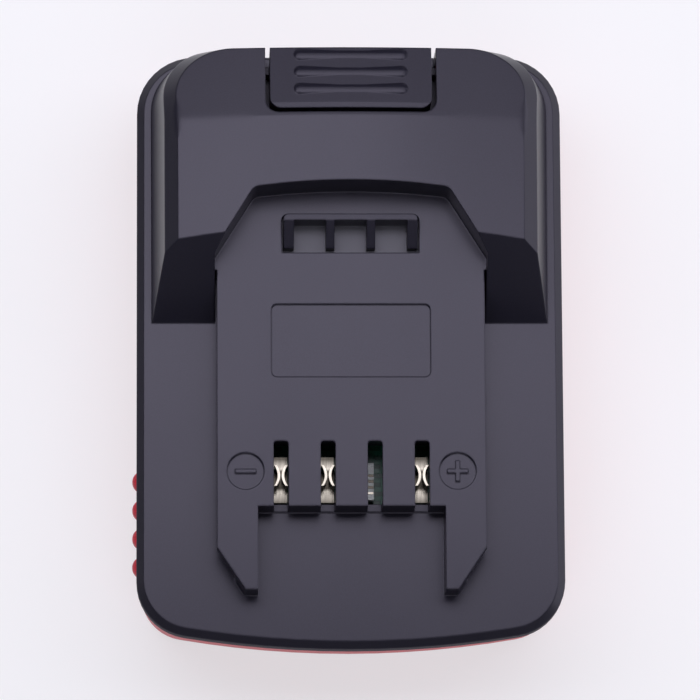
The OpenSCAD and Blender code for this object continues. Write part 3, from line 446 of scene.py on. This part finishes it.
def metal(name, colour, tarnish, roughness, stretch):
    """Plated sheet or wire: streaks and a patchy tarnish."""
    material, tree, shader, place = new_material(name)
    patches = noise(tree, place, TARNISH_SIZE, detail=4)
    stained = blend(tree, remap(tree, patches, *TARNISH_RANGE, 0, TARNISH_SHARE), colour, tarnish)
    tree.links.new(stained, shader.inputs["Base Color"])
    add_streaks(tree, shader, place, stretch, roughness, STREAK_CHANGE, STREAK_DEPTH)
    return material


def clip_metal(name, colour, painted_shade, roughness):
    """Nickel plating of the spring clips: bright leaves, with painted shade on the floor below them and at
    the ends.
    """
    material, tree, shader, place = new_material(name)
    axes = split(tree, place)
    # Painted shade: the ends and the floor under the pinch take the dark colour
    rear = ramp(tree, axes["Y"], CLIP_REAR, CLIP_REAR_SHADE)
    front = ramp(tree, axes["Y"], CLIP_FRONT, CLIP_FRONT_SHADE)
    pinch = ramp(tree, distance(tree, axes["Y"], CLIP_MIDDLE_Y), CLIP_PINCH, CLIP_PINCH_SHADE)
    under = product(tree, ramp(tree, axes["Z"], CLIP_FLOOR), pinch)
    shade = calculate(tree, "MAXIMUM", calculate(tree, "MAXIMUM", rear, front), under)
    tree.links.new(blend(tree, shade, colour, painted_shade), shader.inputs["Base Color"])
    add_streaks(tree, shader, place, LENGTHWAYS, roughness, CLIP_STREAK_CHANGE, CLIP_STREAK_DEPTH)
    return material


def board_material(name):
    """Solder mask over a laminate, with the tracks standing through it as paler bands."""
    material, tree, shader, place = new_material(name)
    scaled = add_node(tree, "Mapping", {"Vector": place, "Scale": TRACK_SCALE}).outputs["Vector"]
    pattern = add_node(tree, "TexBrick", {"Vector": scaled, **TRACK_PATTERN}, offset=TRACK_SHIFT)
    tracks = pattern.outputs["Fac"]
    weave = noise(tree, place, WEAVE_SIZE, detail=2)
    mask = blend(tree, spread(tree, weave, 0, 1), *MASK_GREENS)
    tree.links.new(blend(tree, tracks, mask, TRACK_GREEN), shader.inputs["Base Color"])
    tree.links.new(spread(tree, weave, *BOARD_ROUGHNESS), shader.inputs["Roughness"])
    add_bump(tree, shader, tracks, TRACK_DEPTH)
    return material


def table_material():
    """Smooth pale table, lifted towards white where it is seen, that keeps the shadow."""
    material, tree, shader, place = new_material("table")
    colour = blend(tree, noise(tree, place, TABLE_CLOUD_SIZE, detail=1), *TABLE_COLOURS)
    tree.links.new(colour, shader.inputs["Base Color"])
    shader.inputs["Roughness"].default_value = TABLE_ROUGHNESS
    rays = add_node(tree, "LightPath").outputs
    seen = calculate(tree, "ADD", rays["Is Camera Ray"], rays["Is Glossy Ray"])
    seen = calculate(tree, "ADD", seen, rays["Is Transmission Ray"])
    lift = calculate(tree, "MULTIPLY", seen, TABLE_LIFT)
    white = add_node(tree, "Emission", {"Color": TABLE_WHITE, "Strength": 1.0})
    mixed = add_node(tree, "MixShader", {0: lift, 1: shader.outputs[0], 2: white.outputs[0]})
    tree.links.new(mixed.outputs[0], tree.nodes["Material Output"].inputs["Surface"])
    return material


def slot_materials():
    """Returns a finished material for each slot of the record."""
    looks = {
        "black_plastic": (plastic, dict(
            colour=(0.013, 0.012, 0.02), worn=(0.03, 0.029, 0.04), roughness=0.295, edge_mm=0.4,
            grain_mm=0.005, ior=1.47, tint=VIOLET, radius_at=crease_radius, finish_at=coarse_rim)),
        # The latch plastic gets painted light on the floors of the catch pockets
        "latch_plastic": (plastic, dict(
            colour=(0.012, 0.011, 0.019), worn=(0.03, 0.029, 0.04), roughness=0.295, edge_mm=0.3,
            grain_mm=0.005, ior=1.41, tint=VIOLET, colour_at=pocket_painted_light)),
        "red_plastic": (plastic, dict(
            colour=(0.68, 0.026, 0.05), worn=(0.72, 0.1, 0.12), roughness=0.45, edge_mm=0.3,
            grain_mm=0.005, ior=1.42)),
        "carrier_plastic": (plastic, dict(
            colour=(0.03, 0.03, 0.033), worn=(0.07, 0.07, 0.075), roughness=0.5, edge_mm=0.2,
            grain_mm=0.01)),
        "pale_plastic": (plastic, dict(
            colour=(0.62, 0.64, 0.62), worn=(0.7, 0.7, 0.68), roughness=0.4, edge_mm=0.06,
            grain_mm=0.006)),
        "component_black": (plastic, dict(
            colour=(0.02, 0.02, 0.02), worn=(0.06, 0.06, 0.06), roughness=0.5, edge_mm=0.1,
            grain_mm=0.01)),
        "spring_steel": (metal, dict(
            colour=(0.5, 0.5, 0.52), tarnish=(0.34, 0.33, 0.33), roughness=0.25, stretch=ALL_WAYS)),
        # The nickel's second colour is painted shade at the clips' ends and on the floor under their leaves
        "nickel": (clip_metal, dict(
            colour=(0.4, 0.365, 0.3), painted_shade=(0.03, 0.026, 0.02), roughness=0.2)),
        "tinned_blade": (metal, dict(
            colour=(0.72, 0.73, 0.75), tarnish=(0.5, 0.51, 0.53), roughness=0.28, stretch=LENGTHWAYS)),
        "screw_steel": (metal, dict(
            colour=(0.6, 0.61, 0.64), tarnish=(0.45, 0.45, 0.46), roughness=0.3, stretch=ALL_WAYS)),
        "capacitor_can": (metal, dict(
            colour=(0.7, 0.72, 0.75), tarnish=(0.58, 0.6, 0.62), roughness=0.32, stretch=UPRIGHT)),
        "board_green": (board_material, {}),
    }
    return {slot: make(slot, **look) for slot, (make, look) in looks.items()}


# Geometry

def smooth_normals_group(angle):
    """Returns the node group that drops stored normals and smooths edges below an angle in degrees."""
    name = f"smooth_below_{angle}"
    if name in bpy.data.node_groups:
        return bpy.data.node_groups[name]
    group = bpy.data.node_groups.new(name, "GeometryNodeTree")
    group.interface.new_socket("Geometry", in_out="INPUT", socket_type="NodeSocketGeometry")
    group.interface.new_socket("Geometry", in_out="OUTPUT", socket_type="NodeSocketGeometry")
    nodes, links = group.nodes, group.links
    entry = nodes.new("NodeGroupInput")
    leave = nodes.new("NodeGroupOutput")
    drop = nodes.new("GeometryNodeRemoveAttribute")
    drop.inputs["Name"].default_value = "custom_normal"
    faces = nodes.new("GeometryNodeSetShadeSmooth")
    faces.domain = "FACE"
    edges = nodes.new("GeometryNodeSetShadeSmooth")
    edges.domain = "EDGE"
    bend = nodes.new("GeometryNodeInputMeshEdgeAngle")
    compare = nodes.new("FunctionNodeCompare")
    compare.operation = "LESS_THAN"
    compare.inputs[1].default_value = math.radians(angle)
    links.new(entry.outputs[0], drop.inputs["Geometry"])
    links.new(drop.outputs["Geometry"], faces.inputs["Geometry"])
    links.new(faces.outputs["Geometry"], edges.inputs["Geometry"])
    links.new(bend.outputs["Unsigned Angle"], compare.inputs[0])
    links.new(compare.outputs["Result"], edges.inputs["Shade Smooth"])
    links.new(edges.outputs["Geometry"], leave.inputs[0])
    return group


def smooth_piece(piece, radius_mm, angle):
    """Gives a CAD node smooth normals, and its sharp edges a small radius, by modifiers alone."""
    weld = piece.modifiers.new("weld", "WELD")
    weld.merge_threshold = WELD_DISTANCE
    flat = piece.modifiers.new("flat_faces", "DECIMATE")
    flat.decimate_type = "DISSOLVE"
    flat.angle_limit = FLAT_ANGLE
    if radius_mm:
        bevel = piece.modifiers.new("edge_radius", "BEVEL")
        bevel.width = radius_mm * MM
        bevel.segments = EDGE_SEGMENTS
        bevel.limit_method = "ANGLE"
        bevel.angle_limit = SHARP_ANGLE
        bevel.use_clamp_overlap = False
        bevel.miter_outer = "MITER_ARC"
    normals = piece.modifiers.new("smooth_faces", "NODES")
    normals.node_group = smooth_normals_group(angle)
    weights = piece.modifiers.new("face_weights", "WEIGHTED_NORMAL")
    weights.keep_sharp = True


def coil_mesh(name, low, high):
    """Winds a wire that fills a box from its foot to its top, with closer turns at both ends."""
    middle = (low + high) / 2
    wire = SPRING_WIRE / 2
    radius = (high.x - low.x) / 2 - wire
    rise = high.z - low.z - SPRING_WIRE
    steps = int(SPRING_TURNS * SPRING_STEPS)
    sides = SPRING_SIDES
    full_turn = 2 * math.pi
    points = []
    for i in range(steps + 1):
        t = i / steps
        turn = full_turn * SPRING_TURNS * t
        height = low.z + wire + rise * (t - SPRING_CLOSE * math.sin(full_turn * t) / full_turn)
        outward = Vector((math.cos(turn), math.sin(turn), 0))
        for j in range(sides):
            a = full_turn * j / sides
            ring = outward * (radius + wire * math.cos(a)) + Vector((0, 0, height + wire * math.sin(a)))
            points.append(ring + Vector((middle.x, middle.y, 0)))
    faces = []
    for here in range(0, steps * sides, sides):
        there = here + sides
        for j in range(sides):
            k = (j + 1) % sides
            faces.append((here + j, there + j, there + k, here + k))
    faces.append(tuple(range(sides)))
    faces.append(tuple(reversed(range(steps * sides, (steps + 1) * sides))))
    mesh = bpy.data.meshes.new(name)
    mesh.from_pydata(points, [], faces)
    mesh.shade_smooth()
    return mesh


def add_spring(node, material):
    """Puts a wound spring in place of the CAD coil."""
    low, high = (Vector(corner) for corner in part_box(node))
    mesh = coil_mesh(f"{node}_coil", low, high)
    mesh.materials.append(material)
    coil = bpy.data.objects.new(f"{node}_coil", mesh)
    bpy.context.collection.objects.link(coil)
    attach(coil, "housing")
    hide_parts(node)
    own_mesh(coil)


def dress_nodes(frame, materials):
    """Gives every CAD node its finish, smooth normals and its edge radius."""
    for subpart in frame["record"]["subparts"]:
        name = subpart["node"]
        piece = frame["nodes"][name]
        for slot in piece.material_slots:
            slot.material = materials[subpart["material_slot"]]
        smooth_piece(piece, EDGE_RADIUS.get(name, 0), SMOOTH_ANGLE.get(name, PLAIN_SMOOTH_ANGLE))


def main():
    """Dresses the frame and lights it."""
    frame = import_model()
    bpy.context.scene.view_settings.view_transform = "Standard"
    add_camera()
    add_stage()
    materials = slot_materials()
    dress_nodes(frame, materials)
    for node in SPRING_NODES:
        add_spring(node, materials["spring_steel"])


main()
